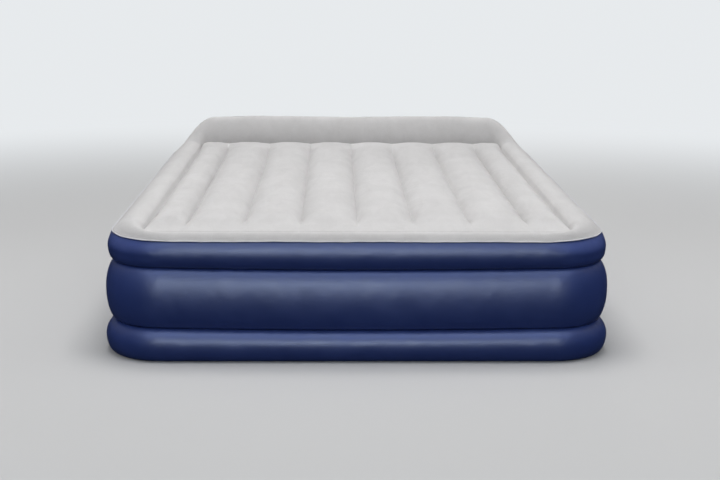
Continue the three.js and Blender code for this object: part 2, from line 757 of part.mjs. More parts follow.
// ------------------------- spring-loaded air valve in the back of the housing
// ring and hub joined by a cross
const valveGuide = () => {
  const zRange = [116, 119];
  const CROSS = { halfLength: 19, halfWidth: 1.2 };
  return cut(
    add(
      tube(21.6, 18, zRange, KNOB),
      cylinder(5, zRange, KNOB, 20),
      box(about(KNOB.x, CROSS.halfLength), about(KNOB.y, CROSS.halfWidth), zRange),
      box(about(KNOB.x, CROSS.halfWidth), about(KNOB.y, CROSS.halfLength), zRange),
    ),
    cylinder(2.6, shrink(zRange, -1), KNOB, 16),
  );
};
// disc with its stem
const valveDisc = () =>
  add(cylinder(20.5, [126.3, 128.3], KNOB), cylinder(2.2, [95.4, 126.4], KNOB, 16));
const valveSpring = () => {
  const COIL = { radius: 4.2, wireR: 0.55, startZ: 99, length: 16, turns: 3 };
  const steps = COIL.turns * 10;
  const points = [];
  for (let i = 0; i <= steps; i++) {
    const angle = (i / 10) * 2 * Math.PI;
    points.push([
      KNOB.x + COIL.radius * Math.cos(angle),
      KNOB.y + COIL.radius * Math.sin(angle),
      COIL.startZ + (COIL.length * i) / steps,
    ]);
  }
  return bar(points, COIL.wireR, steps);
};
// two-core lead from the switch to the motor
const motorLead = () => {
  const PATH = [
    [42, -38, 18.6], [40, -40, 26], [24, -44, 33], [-8, -45, 40],
    [-30, -38, 46], [-38, -30, 52], [-39, -26.5, 56],
  ];
  return bar(PATH, 1.5, 16);
};

// ------------------------------------------------------------------- assembly
const buildBed = () => {
  const bed = new THREE.Group();
  const { flock, navy, innerSheet } = FINISH;
  const middleBand = cut(sweep(() => skinOf(middleLine)), collarHole());
  put(bed, "perimeter_rim", sweep(rimSection), flock);
  put(bed, "upper_side_band", sweep((station) => skinOf(upperLine(station))), navy);
  put(bed, "middle_side_band", middleBand, navy);
  put(bed, "lower_side_band", sweep(() => skinOf(lowerLine)), navy);
  put(bed, "top_sheet", topSheet(), flock);
  put(bed, "upper_waist_sheet", waistSheet(UPPER_WAIST_Z), innerSheet);
  put(bed, "lower_waist_sheet", waistSheet(LOWER_WAIST_Z), innerSheet);
  put(bed, "bottom_sheet", bottomSheet(), navy);
  // beams hold the valleys of the top down to the upper waist sheet
  const beamZ = [UPPER_WAIST_Z + EDGE_GAP, WELD_Z - SKIN - 2 * GAP];
  for (let n = 1; n < CHANNELS; n++)
    put(bed, "channel_beam_" + n, web(valleyX(n), beamZ), innerSheet);
  // webs keep the middle and lower tiers flat
  const middleZ = [LOWER_WAIST_Z + EDGE_GAP, UPPER_WAIST_Z - EDGE_GAP];
  const baseZ = [SKIN + GAP, LOWER_WAIST_Z - EDGE_GAP];
  WEB_X.forEach((x, i) => {
    put(bed, "middle_web_" + (i + 1), web(x, middleZ), innerSheet);
    put(bed, "base_web_" + (i + 1), web(x, baseZ), innerSheet);
  });
  put(bed, "pump_collar", pumpCollar(), navy);
  return bed;
};

const buildPump = () => {
  const pump = new THREE.Group();
  pump.position.set(PUMP.x, PUMP.y, PUMP.z);
  pump.rotation.x = Math.PI / 2;
  const { charcoal, greyAbs, blackRubber, steel, brass } = FINISH;
  const piece = (name, shape, finish) => put(pump, name, shape, finish);

  piece("pump_housing", pumpHousing(), greyAbs);
  piece("pump_faceplate", pumpFaceplate(), charcoal);
  piece("faceplate_gasket", faceplateGasket(), blackRubber);
  SCREW_PLACES.forEach((place, i) =>
    piece("faceplate_screw_" + (i + 1), faceplateScrew(place), steel),
  );

  piece("selector_knob", selectorKnob(), charcoal);
  piece("selector_spindle", cylinder(SPINDLE_R, [-0.4, 14], KNOB, 20), greyAbs);
  piece("diverter_drum", diverterDrum(), greyAbs);
  piece("diverter_sleeve", diverterSleeve(), greyAbs);

  piece("switch_body", switchBody(), blackRubber);
  const rocker = piece("rocker_switch", rockerSwitch(), FINISH.redRocker);
  rocker.position.set(SWITCH.x, SWITCH.y, ROCKER_PIVOT_Z);
  rocker.rotation.y = (ROCKER_TILT * Math.PI) / 180;

  piece("cord_door", cordDoor(), charcoal);
  piece("door_hinge_pin", cylinderX(1.1, about(BAY_MID_X, 38.6), HINGE, 12), steel);
  piece("cord_tray", cordTray(), greyAbs);
  piece("power_cord", powerCord(), blackRubber);
  piece("cord_grommet", cordGrommet(), blackRubber);
  piece("power_plug", plate(rect(13.5, 9, 4), [26, 38], PLUG, 4), blackRubber);
  [-6.3, 6.3].forEach((offsetX, i) =>
    piece("plug_blade_" + (i + 1), plugBlade(offsetX), brass),
  );
  piece("intake_filter", box([-77, -11], [-48, -31], [4.2, 9.2]), FINISH.foam);

  piece("motor_can", motorCan(), steel);
  piece("motor_end_cap", motorEndCap(), greyAbs);
  piece("motor_shaft", cylinder(SHAFT_R, [50.2, 121], FAN, 16), steel);
  piece("motor_armature", motorArmature(), FINISH.armature);
  piece("motor_mount", motorMount(), blackRubber);
  piece("fan_impeller", fanImpeller(), greyAbs);
  piece("impeller_nut", impellerNut(), steel);
  piece("fan_casing", fanCasing(), greyAbs);

  piece("valve_guide", valveGuide(), greyAbs);
  piece("valve_disc", valveDisc(), greyAbs);
  piece("valve_seal", tube(20, 15.5, [124.3, 126], KNOB), FINISH.seal);
  piece("valve_retainer", tube(6, 2.5, [96, 98], KNOB, 20), brass);
  piece("valve_spring", valveSpring(), FINISH.spring);
  piece("motor_lead", motorLead(), blackRubber);
  return pump;
};

const root = new THREE.Group();
root.add(buildBed(), buildPump());

export default root;
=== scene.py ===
import math

import bmesh
import bpy
import numpy as np
from mathutils import Matrix, Vector


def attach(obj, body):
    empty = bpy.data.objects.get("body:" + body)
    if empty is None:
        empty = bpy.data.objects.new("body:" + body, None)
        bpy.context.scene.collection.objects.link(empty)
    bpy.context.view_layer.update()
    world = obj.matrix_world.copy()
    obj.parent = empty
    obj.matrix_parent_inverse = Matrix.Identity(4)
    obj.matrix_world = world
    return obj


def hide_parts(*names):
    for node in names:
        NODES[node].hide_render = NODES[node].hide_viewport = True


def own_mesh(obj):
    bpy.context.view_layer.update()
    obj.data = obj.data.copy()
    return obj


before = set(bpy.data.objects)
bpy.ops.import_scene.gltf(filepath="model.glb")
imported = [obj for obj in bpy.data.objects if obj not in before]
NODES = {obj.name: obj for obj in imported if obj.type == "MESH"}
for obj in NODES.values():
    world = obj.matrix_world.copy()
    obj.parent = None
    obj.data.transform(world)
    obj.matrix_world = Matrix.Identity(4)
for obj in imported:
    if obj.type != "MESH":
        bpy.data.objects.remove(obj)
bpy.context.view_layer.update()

# ------------------------------------------------------------------ dimensions
# "_IN" values are insets from the rounded rectangle of the plan, "_Z" values heights
HALF_X, HALF_Y, CORNER_R = 0.760, 1.015, 0.180
STRAIGHT_X, STRAIGHT_Y = HALF_X - CORNER_R, HALF_Y - CORNER_R
QUARTER = CORNER_R * math.pi / 2       # length of a plan corner
SEAM_Z, SEAM_IN, SEAM_R = 0.3605, 0.020, 0.207
SEAM_GAP = 0.0008                      # from the seam up to the rim and down to the wall
UPPER_WAIST_Z, LOWER_WAIST_Z, WAIST_IN = 0.280, 0.099, 0.035
UPPER_IN, MIDDLE_IN, FOOT_IN = 0.0085, 0.003, 0.026
UPPER_Z, LOWER_Z = 0.321, 0.050        # widest lines of the upper and lower tiers
TIER_GAP = 0.0002                      # between a tier's edge and its waist or the floor
WAIST_SAG = 0.006                      # the waists hang a little in the middle of a wall
VALLEY_Z, WELD_Z, CREST_Z = 0.368, 0.362, 0.396    # sleeping channels
RIM_Z, FOOT_DROP, BOLSTER_Z = 0.398, 0.0165, 0.499
SIDE_RIM, FOOT_RIM, HEAD_RIM = 0.1315, 0.078, 0.114    # inner edge of the rim, as insets
CHANNEL_PITCH, WEB_PITCH = 0.1725, 0.28
WEB_HALF_Y, WEB_GAP = 0.85, 0.0009
SKIN = 0.0012
FIELD_Y0, FIELD_Y1 = -HALF_Y + FOOT_RIM, HALF_Y - HEAD_RIM
FIELD_HALF_X = HALF_X - SIDE_RIM

PUMP_X, PUMP_Y, PUMP_Z = -0.330, 0.999, 0.1905     # centre of the faceplate's outer face
KNOB_X, KNOB_Z = PUMP_X + 0.042, PUMP_Z + 0.014    # selector axis, which the valve shares
PLATE = (0.098, 0.066, 0.022)          # faceplate: half width, half height, corner radius
OPENING = (0.104, 0.072, 0.026)        # the same for the hole in the wall
PUMP_WALL_Y = 1.0015                   # the wall is drawn flat to this round the pump


# --------------------------------------------------------------------- helpers
def cubic(a, b, c, d, t):
    """Catmull-Rom value at t between b and c."""
    square = (2 * a - 5 * b + 4 * c - d) * t**2
    return 0.5 * ((2 * b) + (c - a) * t + square + (3 * b - a - 3 * c + d) * t**3)


def catmull(points, count):
    """Points along a smooth line through the given ones, evenly spaced in length."""
    p = np.array(points, float)
    q = np.vstack([2 * p[0] - p[1], p, 2 * p[-1] - p[-2]])
    t = np.linspace(0, 1, 24, endpoint=False)[:, None]
    spans = [cubic(q[i], q[i + 1], q[i + 2], q[i + 3], t) for i in range(len(p) - 1)]
    line = np.vstack(spans + [p[-1:]])
    length = np.r_[0, np.cumsum(np.linalg.norm(np.diff(line, axis=0), axis=1))]
    at = np.linspace(0, length[-1], count)
    return np.column_stack([np.interp(at, length, line[:, k]) for k in range(line.shape[1])])


def smoothstep(x, low, high):
    t = np.clip((np.asarray(x, float) - low) / (high - low), 0, 1)
    return t * t * (3 - 2 * t)


def new_mesh(name, verts, faces, smooth=True):
    mesh = bpy.data.meshes.new(name)
    mesh.from_pydata([tuple(v) for v in verts], [], faces)
    mesh.update()
    if smooth:
        mesh.polygons.foreach_set("use_smooth", [True] * len(mesh.polygons))
    ob = bpy.data.objects.new(name, mesh)
    bpy.context.scene.collection.objects.link(ob)
    return ob


def grid_faces(rows, cols, wrap_rows, wrap_cols):
    i = np.arange(rows if wrap_rows else rows - 1)
    j = np.arange(cols if wrap_cols else cols - 1)
    i, j = np.meshgrid(i, j, indexing="ij")
    i2, j2 = (i + 1) % rows, (j + 1) % cols
    corners = [i * cols + j, i2 * cols + j, i2 * cols + j2, i * cols + j2]
    return np.stack(corners, -1).reshape(-1, 4)


def grid_normals(grid, wrap):
    di = np.roll(grid, -1, 0) - np.roll(grid, 1, 0) if wrap else np.gradient(grid, axis=0)
    normals = np.cross(di, np.gradient(grid, axis=1))
    return normals / np.maximum(np.linalg.norm(normals, axis=2, keepdims=True), 1e-12)


def shell(name, grid, thick=SKIN, wrap=True, drop=None, touching=False):
    """A closed thin sheet from its outer surface, a grid whose normals point out.
    Faces with all their corners in drop, or any if touching, are left out."""
    rows, cols = grid.shape[:2]
    count = rows * cols
    under = grid - grid_normals(grid, wrap) * thick
    verts = np.vstack([grid.reshape(-1, 3), under.reshape(-1, 3)])
    top = grid_faces(rows, cols, wrap, False)
    if drop is not None:
        dropped = drop.ravel()[top]
        top = top[~(dropped.any(1) if touching else dropped.all(1))]
    # walls round every open edge of the kept faces
    edges = np.concatenate([top[:, [k, (k + 1) % 4]] for k in range(4)])
    key = edges.min(1).astype(np.int64) * count + edges.max(1)
    _, inverse, uses = np.unique(key, return_inverse=True, return_counts=True)
    start, end = edges[uses[inverse] == 1].T
    walls = np.column_stack([end, start, start + count, end + count])
    faces = np.concatenate([top, top[:, ::-1] + count, walls])
    used = np.unique(faces)
    renumber = -np.ones(len(verts), int)
    renumber[used] = np.arange(len(used))
    return new_mesh(name, verts[used], renumber[faces].tolist())


def give(ob, mat, slot, *nodes):
    """Sets the material and tells the frame which CAD nodes the object stands in for."""
    ob.data.materials.clear()
    ob.data.materials.append(mat)
    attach(ob, "mattress")
    if nodes:
        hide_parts(*nodes)


# --------------------------------------------------- stations round the outline
def stations(step, corner_step):
    """Rows of centre x, y and outward direction x, y round the rounded rectangle,
    anticlockwise from the foot corner at +X."""
    out = []
    cx, cy = STRAIGHT_X, STRAIGHT_Y
    turns = max(6, int(round(QUARTER / corner_step)))
    corners = [(cx, -cy, -90), (cx, cy, 0), (-cx, cy, 90), (-cx, -cy, 180)]
    for k, (x, y, start) in enumerate(corners):
        for i in range(turns + 1):
            angle = math.radians(start + 90 * i / turns)
            out.append((x, y, math.cos(angle), math.sin(angle)))
        x2, y2, _ = corners[(k + 1) % 4]
        angle = math.radians(start + 90)
        steps = max(2, int(round(math.hypot(x2 - x, y2 - y) / step)))
        for i in range(1, steps):
            at = (x + (x2 - x) * i / steps, y + (y2 - y) * i / steps)
            out.append((*at, math.cos(angle), math.sin(angle)))
    return np.array(out)


RING = stations(0.0085, 0.006)
SIM_RING = stations(0.020, 0.0135)     # coarser, for the cloth simulations


def place(ring, inset, height):
    """Grid of points from stations, with insets and heights for each row and column."""
    r = CORNER_R - inset
    x = ring[:, None, 0] + ring[:, None, 2] * r
    y = ring[:, None, 1] + ring[:, None, 3] * r
    return np.stack([x, y, height], -1)


def rounder(ring):
    """Extra inset at each station that turns the seam's plan corner into an arc of SEAM_R."""
    square_r = CORNER_R - SEAM_IN
    d = SEAM_R - square_r
    x, y, out_x, out_y = np.abs(ring).T
    both = out_x + out_y
    arc = square_r - (np.sqrt(d * d * both ** 2 - 2 * d * d + SEAM_R**2) - d * both)
    # the arc runs on a little along the straights
    along = np.where(out_x > out_y, STRAIGHT_Y - y, STRAIGHT_X - x)
    flat = SEAM_R - np.sqrt(SEAM_R**2 - np.clip(d - along, 0, d) ** 2)
    return np.where(np.minimum(out_x, out_y) < 1e-6, flat, arc)


def sag(ring):
    """How far a waist hangs at each station, none at the corners and on the head wall."""
    x, y, out_x, out_y = ring.T
    foot = (out_y < -0.999) * (1 - (x / STRAIGHT_X) ** 2)
    side = (np.abs(out_x) > 0.999) * (1 - (y / STRAIGHT_Y) ** 2)
    return WAIST_SAG * (foot + 0.7 * side)


# ------------------------------------------------------------ cloth simulation
def cloth_relief(name, grid, pins, wrap, slack, cap, span):
    """Inflates the grid as cloth held at its pins and returns how far each point stands
    proud along the normals, less the mean swelling over a span of rows, softly capped."""
    rows, cols = grid.shape[:2]
    frames = 18
    ob = new_mesh(name, grid.reshape(-1, 3), grid_faces(rows, cols, wrap, False).tolist())
    group = ob.vertex_groups.new(name="pin")
    group.add([int(k) for k in np.flatnonzero(pins.ravel())], 1.0, "REPLACE")
    cloth = ob.modifiers.new("cloth", "CLOTH")
    st = cloth.settings
    st.quality = 5
    st.mass = 0.25
    st.tension_stiffness = st.compression_stiffness = 18
    st.shear_stiffness = 8
    st.bending_stiffness = 0.35
    st.use_pressure = True
    st.uniform_pressure_force = 3.0
    st.vertex_group_mass = "pin"
    st.pin_stiffness = 1.0
    st.shrink_min = -slack
    st.effector_weights.gravity = 0
    cloth.collision_settings.use_collision = False
    cloth.collision_settings.use_self_collision = False
    cloth.point_cache.frame_start, cloth.point_cache.frame_end = 1, frames + 2
    scene = bpy.context.scene
    for f in range(1, frames + 1):
        scene.frame_set(f)
    posed = ob.evaluated_get(bpy.context.evaluated_depsgraph_get())
    places = np.empty(rows * cols * 3, np.float32)
    posed.data.vertices.foreach_get("co", places)
    scene.frame_set(1)
    bpy.data.objects.remove(ob)
    moved = places.reshape(rows, cols, 3).astype(float) - grid
    proud = (moved * grid_normals(grid, wrap)).sum(2)
    # the mean swelling is taken out, so that only the creases stay
    kernel = np.hanning(2 * span + 3)[1:-1]
    kernel /= kernel.sum()
    if wrap:
        ext = np.concatenate([proud[-span:], proud, proud[:span]])
    else:
        ext = np.concatenate([np.repeat(proud[:1], span, 0), proud, np.repeat(proud[-1:], span, 0)])
    mean = np.stack([np.convolve(ext[:, j], kernel, "valid") for j in range(cols)], 1)
    return cap * np.tanh((proud - mean) / cap)


def upsample(values, rows_at, cols_at, wrap):
    """Smooth resampling of a scalar grid at fractional rows and columns."""

    def axis(table, at, wrap):
        count = table.shape[0]
        i = np.floor(at).astype(int)
        t = (at - i)[:, None]
        four = [i + k for k in (-1, 0, 1, 2)]
        four = [k % count if wrap else np.clip(k, 0, count - 1) for k in four]
        return cubic(*(table[k] for k in four), t)

    return axis(axis(values, rows_at, wrap).T, cols_at, False).T


def arc_position(ring):
    """Length along a line 0.05 inside the outline to each station, and the whole length."""
    p = ring[:, :2] + ring[:, 2:] * (CORNER_R - 0.05)
    seg = np.linalg.norm(np.roll(p, -1, 0) - p, axis=1)
    return np.r_[0, np.cumsum(seg)[:-1]], seg.sum()


def creased(name, grid, coarse, held, slack, cap, span, share):
    """The grid with a share of the creases that its coarse version takes when inflated,
    pinned at both edges and wherever held, and matched by length along the outline."""
    pins = np.zeros(coarse.shape[:2], bool)
    pins[:, 0] = pins[:, -1] = True
    pins |= held
    relief = cloth_relief(name, coarse, pins, True, slack, cap, span)
    coarse_at, coarse_all = arc_position(SIM_RING)
    fine_at, fine_all = arc_position(RING)
    rows_at = np.interp(
        fine_at * coarse_all / fine_all, np.r_[coarse_at, coarse_all], np.arange(len(coarse_at) + 1)
    )
    cols_at = np.linspace(0, relief.shape[1] - 1, grid.shape[1])
    lift = upsample(relief, rows_at, cols_at, True)
    return grid + grid_normals(grid, True) * share * lift[..., None]


# ------------------------------------------------------------------- materials
def map_range(tree, value, span, to, smooth=False):
    node = tree.nodes.new("ShaderNodeMapRange")
    if smooth:
        node.interpolation_type = "SMOOTHSTEP"
    for k, limit in enumerate((*span, *to), 1):
        node.inputs[k].default_value = limit
    tree.links.new(value, node.inputs[0])
    return node.outputs[0]


class Mat:
    """A node material round one Principled shader, with bumps chained as they are added."""

    def __init__(self, name):
        self.material = bpy.data.materials.new(name)
        self.material.use_nodes = True
        self.tree = self.material.node_tree
        self.tree.nodes.clear()
        self.link = self.tree.links.new
        self.output = self.node("OutputMaterial")
        self.shader = self.node("BsdfPrincipled")
        self.link(self.shader.outputs[0], self.output.inputs[0])
        self.coords = self.node("TexCoord").outputs["Object"]
        self.normal = None

    def node(self, kind):
        return self.tree.nodes.new("ShaderNode" + kind)

    def feed(self, value, socket):
        """Sets a socket to a number or a colour, or links it to another socket."""
        if isinstance(value, (int, float)):
            socket.default_value = value
        elif isinstance(value, tuple):
            socket.default_value = (*value, 1.0)
        else:
            self.link(value, socket)

    def scaled(self, scale):
        node = self.node("Mapping")
        node.inputs["Scale"].default_value = scale
        self.link(self.coords, node.inputs[0])
        return node.outputs[0]

    def noise(self, scale, detail, rough=0.6, vector=None, distortion=0.0):
        node = self.node("TexNoise")
        node.inputs["Scale"].default_value = scale
        node.inputs["Detail"].default_value = detail
        node.inputs["Roughness"].default_value = rough
        node.inputs["Distortion"].default_value = distortion
        self.link(vector or self.coords, node.inputs["Vector"])
        return node.outputs["Fac"]

    def voronoi(self, scale, feature="F1"):
        node = self.node("TexVoronoi")
        node.feature = feature
        node.inputs["Scale"].default_value = scale
        node.inputs["Randomness"].default_value = 1.0
        self.link(self.coords, node.inputs["Vector"])
        return node.outputs["Distance"]

    def remap(self, value, span=(0.3, 0.7), to=(0, 1)):
        return map_range(self.tree, value, span, to)

    def calc(self, operation, a, b):
        node = self.node("Math")
        node.operation = operation
        self.feed(a, node.inputs[0])
        self.feed(b, node.inputs[1])
        return node.outputs[0]

    def weighted(self, *parts):
        """Sum of (value, weight) pairs, each value stretched to 0..1 first."""
        total = None
        for value, weight in parts:
            part = self.calc("MULTIPLY", self.remap(value), weight)
            total = self.calc("ADD", total, part) if total else part
        return total

    def mix(self, factor, a, b):
        node = self.node("Mix")
        node.data_type = "RGBA"
        for k, value in ((0, factor), (6, a), (7, b)):
            self.feed(value, node.inputs[k])
        return node.outputs[2]

    def bump(self, height, distance, strength):
        node = self.node("Bump")
        node.inputs["Distance"].default_value = distance
        node.inputs["Strength"].default_value = strength
        self.link(height, node.inputs["Height"])
        if self.normal is not None:
            self.link(self.normal, node.inputs["Normal"])
        self.normal = node.outputs[0]

    def done(self, color, rough, metallic=0.0, **others):
        """Feeds the shader; others are its inputs, with underscores for spaces."""
        sockets = self.shader.inputs
        self.feed(color, sockets["Base Color"])
        self.feed(rough, sockets["Roughness"])
        self.feed(metallic, sockets["Metallic"])
        for name, value in others.items():
            self.feed(value, sockets[name.replace("_", " ")])
        if self.normal is not None:
            self.link(self.normal, sockets["Normal"])
        return self.material


def lighter(color, gain):
    return tuple(min(1, c * gain + 0.004) for c in color)


def flock(name, tint=(1.0, 1.0, 1.0)):
    """Short electrostatic nap on vinyl: soft, matte, brushed one way and another in patches."""
    k = Mat(name)
    nap = k.noise(scale=1500, detail=2)
    tuft = k.noise(scale=420, detail=3)
    stroke = k.noise(scale=26, detail=4, vector=k.scaled((1.0, 0.35, 1.0)), distortion=0.6)
    patch = k.noise(scale=5.5, detail=3, rough=0.5)
    dark = tuple(x * y for x, y in zip((0.560, 0.545, 0.540), tint))
    light = tuple(x * y for x, y in zip((0.665, 0.650, 0.645), tint))
    color = k.mix(k.weighted((stroke, 0.40), (patch, 0.30), (tuft, 0.30)), dark, light)
    # painted shade: darkened where it is seen square on, so faces turned to the camera read darker
    facing = k.node("LayerWeight")
    facing.inputs[0].default_value = 0.5
    deep = k.remap(facing.outputs["Facing"], span=(0.2, 0.7), to=(0.85, 1.0))
    color = k.mix(deep, (0.0, 0.0, 0.0), color)
    k.bump(stroke, distance=0.0016, strength=0.35)
    k.bump(tuft, distance=0.0010, strength=0.5)
    k.bump(nap, distance=0.0006, strength=0.6)
    rough = k.remap(tuft, to=(0.90, 1.0))
    return k.done(color, rough, Sheen_Weight=0.03, Sheen_Roughness=0.5, Specular_IOR_Level=0.06)


def vinyl(name, dark, light, rough, grain=1.0):
    """Embossed satin vinyl."""
    k = Mat(name)
    cell = k.voronoi(scale=820, feature="SMOOTH_F1")
    fine = k.noise(scale=2600, detail=2)
    cloud = k.noise(scale=14, detail=4, rough=0.55)
    wide = k.noise(scale=3.2, detail=2, rough=0.5)
    color = k.mix(k.weighted((cloud, 0.5), (wide, 0.5)), dark, light)
    broad = k.remap(cloud, span=(0.25, 0.75), to=(rough - 0.04, rough + 0.05))
    roughness = k.calc("ADD", broad, k.remap(fine, to=(-0.02, 0.03)))
    k.bump(cloud, distance=0.0035, strength=0.16 * grain)
    k.bump(cell, distance=0.00035, strength=0.55 * grain)
    k.bump(fine, distance=0.00012, strength=0.5 * grain)
    return k.done(color, roughness, Specular_IOR_Level=0.5)


def moulded(name, color, rough=0.5, spark=1.0):
    """Moulded plastic with a spark-eroded texture and a little polish in patches."""
    k = Mat(name)
    pits = k.voronoi(scale=2600)
    fine = k.noise(scale=5200, detail=2)
    wear = k.noise(scale=60, detail=4)
    color = k.mix(k.remap(wear, span=(0.35, 0.75)), color, lighter(color, gain=1.22))
    k.bump(pits, distance=0.00012, strength=0.6 * spark)
    k.bump(fine, distance=0.00006, strength=0.5 * spark)
    roughness = k.remap(wear, span=(0.3, 0.75), to=(rough + 0.05, rough - 0.08))
    return k.done(color, roughness, Specular_IOR_Level=0.45)


def metal(name, color, rough, stretch=(1, 1, 1)):
    k = Mat(name)
    line = k.noise(scale=700, detail=3, vector=k.scaled(stretch))
    spot = k.noise(scale=90, detail=4)
    color = k.mix(k.remap(spot), tuple(c * 0.86 for c in color), color)
    k.bump(line, distance=0.00005, strength=0.5)
    return k.done(color, k.remap(line, to=(rough - 0.07, rough + 0.1)), metallic=1.0)


def rubber(name, color, rough=0.7):
    k = Mat(name)
    grain = k.noise(scale=900, detail=3)
    cloud = k.noise(scale=45, detail=4)
    k.bump(grain, distance=0.00015, strength=0.7)
    color = k.mix(k.remap(cloud), color, lighter(color, gain=1.35))
    roughness = k.remap(cloud, to=(rough - 0.08, rough + 0.08))
    return k.done(color, roughness, Specular_IOR_Level=0.35)


def foam(name):
    k = Mat(name)
    cell = k.voronoi(scale=900)
    k.bump(cell, distance=0.0008, strength=1.0)
    # painted shade: the colour is darker in the pits of the cell bump
    dark, light = (0.012, 0.013, 0.014), (0.06, 0.062, 0.066)
    color = k.mix(k.remap(cell, span=(0.1, 0.6)), dark, light)
    return k.done(color, 0.95, Specular_IOR_Level=0.1)


FLOCK = flock("flocked_vinyl")
LIP_FLOCK = flock("flocked_weld_lip", tint=(0.98, 1.0, 1.06))
NAVY = vinyl(
    "navy_satin_vinyl", dark=(0.024, 0.046, 0.190), light=(0.032, 0.059, 0.230), rough=0.38
)
BASE_VINYL = vinyl(
    "navy_base_vinyl", dark=(0.016, 0.028, 0.105), light=(0.022, 0.036, 0.130), rough=0.5, grain=1.6
)
INNER_VINYL = vinyl("inner_vinyl", dark=(0.27, 0.30, 0.36), light=(0.34, 0.37, 0.43), rough=0.45)
CHARCOAL = moulded("charcoal_abs", (0.040, 0.043, 0.050), rough=0.46)
GREY = moulded("grey_abs", (0.15, 0.16, 0.175))
RED = moulded("red_switch_plastic", (0.36, 0.022, 0.016), rough=0.3, spark=0.4)
RUBBER = rubber("black_rubber", (0.012, 0.0125, 0.013))
SEAL = rubber("grey_seal_rubber", (0.26, 0.265, 0.27), rough=0.6)
STEEL = metal("zinc_plated_steel", (0.60, 0.60, 0.61), rough=0.3, stretch=(1, 0.1, 1))
BRASS = metal("plug_brass", (0.72, 0.52, 0.24), rough=0.28)
COPPER = metal("copper_winding", (0.62, 0.27, 0.12), rough=0.35)
FOAM = foam("filter_foam")


# ------------------------------------------------------ flocked rim and bolster
# Cross-sections from the seam to the field: (share of the width inwards, share of the height)
LOW_SECTION = [
    (0.0, 0.0), (0.09, 0.22), (0.2, 0.5), (0.34, 0.77), (0.5, 0.95),
    (0.64, 1.0), (0.79, 0.91), (0.91, 0.66), (1.0, 0.38),
]
BOLSTER_SECTION = [
    (0.0, 0.0), (-0.03, 0.33), (0.05, 0.69), (0.22, 0.94), (0.48, 1.0),
    (0.78, 0.90), (0.97, 0.66), (1.05, 0.38), (1.0, 0.10),
]


def shares(ring):
    """How much of the head bolster and of the foot rim each station carries."""
    _, y, _, out_y = ring.T
    turned = np.arcsin(np.clip(out_y, 0, 1)) / (math.pi / 2)
    t = np.where(out_y < 1e-9, (y - STRAIGHT_Y) / QUARTER, turned)
    t = np.where((out_y < -1e-9) | (y < 0), -1.0, t)
    # the bolster starts a little before the corner
    early = 0.18
    head = np.sin(np.clip((t + early) / (1 + early), 0, 1) * math.pi / 2) ** 1.9
    return head, np.where(out_y < 0, out_y ** 2, 0.0)


def rim_grid(ring, cols):
    head, foot = (share[:, None] for share in shares(ring))
    x, out_x = ring[:, None, 0], ring[:, None, 2]
    low, tall = catmull(LOW_SECTION, cols), catmull(BOLSTER_SECTION, cols)
    width = SIDE_RIM + (HEAD_RIM - SIDE_RIM) * head + (FOOT_RIM - SIDE_RIM) * foot
    crest = RIM_Z + (BOLSTER_Z - RIM_Z) * head - FOOT_DROP * foot
    # the bolster's top line sags a little in the middle
    crest = crest - 0.004 * head * np.exp(-((x + 0.02) / 0.22) ** 2)
    # and falls away to its ends
    crest = crest - 0.0055 * head * smoothstep(np.abs(x + 0.18 * out_x), 0.36, 0.62)
    z0 = SEAM_Z + SEAM_GAP
    inward = low[None, :, 0] + (tall[None, :, 0] - low[None, :, 0]) * head
    z_low = z0 + low[None, :, 1] * (crest - z0)
    z_tall = z0 + tall[None, :, 1] * (crest - z0)
    edge = (SEAM_IN + rounder(ring))[:, None]
    inset = edge + (width - edge) * inward
    z = z_low + (z_tall - z_low) * head
    # the inner edge comes down to the valley round the field
    t = np.linspace(0, 1, cols)
    end = smoothstep(t, 0.82, 1.0)[None, :]
    z = z + (VALLEY_Z - 0.002 + 0.012 * foot - z[:, -1:]) * end
    inset = inset + 0.003 * smoothstep(t, 0.93, 1.0)[None, :]
    return place(ring, inset, z)


rim = creased(
    "sim_rim", rim_grid(RING, 40), rim_grid(SIM_RING, 16), held=False,
    slack=0.035, cap=0.0035, span=9, share=0.12,
)
give(shell("flocked_rim", rim), FLOCK, "flocked_top", "perimeter_rim")


def weld_lip():
    """A thin bead under the rim, stoutest along the foot, with a slight waver in height."""
    cols = 14
    a = np.linspace(0, 2 * math.pi, cols, endpoint=False)
    across = -0.0008 - 0.0046 * np.cos(a)
    z = SEAM_Z + SEAM_GAP + 0.0013 * np.sin(a) * (1 + 0.25 * np.cos(a))
    stout = 0.45 + 0.55 * np.clip(-RING[:, 3], 0, 1)[:, None]
    inset = (SEAM_IN + rounder(RING))[:, None] + across[None, :] * stout
    turn = arc_position(RING)[0] * 2 * math.pi
    waver = 0.0005 * np.sin(turn / 0.31) + 0.0003 * np.sin(turn / 0.083 + 1.0)
    grid = place(RING, inset, z[None, :] + waver[:, None])
    faces = grid_faces(len(RING), cols, True, True)[:, ::-1].tolist()
    give(new_mesh("weld_lip", grid.reshape(-1, 3), faces), LIP_FLOCK, "flocked_top")


weld_lip()


# ------------------------------------------------------------------ side tiers
def flat_at_pump(x, y, z):
    """y of the head wall, drawn flat round the pump."""
    near_x = 1 - smoothstep(np.abs(x - PUMP_X), 0.118, 0.265)
    near_z = 1 - smoothstep(np.abs(z - PUMP_Z), 0.070, 0.0925)
    return y + (np.minimum(y, PUMP_WALL_Y) - y) * near_x * near_z


def flattened(grid):
    x, y, z = np.moveaxis(grid, -1, 0)
    return np.stack([x, np.where(y > 0.9, flat_at_pump(x, y, z), y), z], -1)


def in_opening(grid, margin):
    """Points of the head wall inside the pump's opening, grown by a margin."""
    half_x, half_z, r = OPENING
    qx = np.abs(grid[..., 0] - PUMP_X) - (half_x - r)
    qz = np.abs(grid[..., 2] - PUMP_Z) - (half_z - r)
    outside = np.hypot(np.maximum(qx, 0), np.maximum(qz, 0))
    distance = outside + np.minimum(np.maximum(qx, qz), 0) - r
    return (grid[..., 1] > 0.9) & (distance < margin)


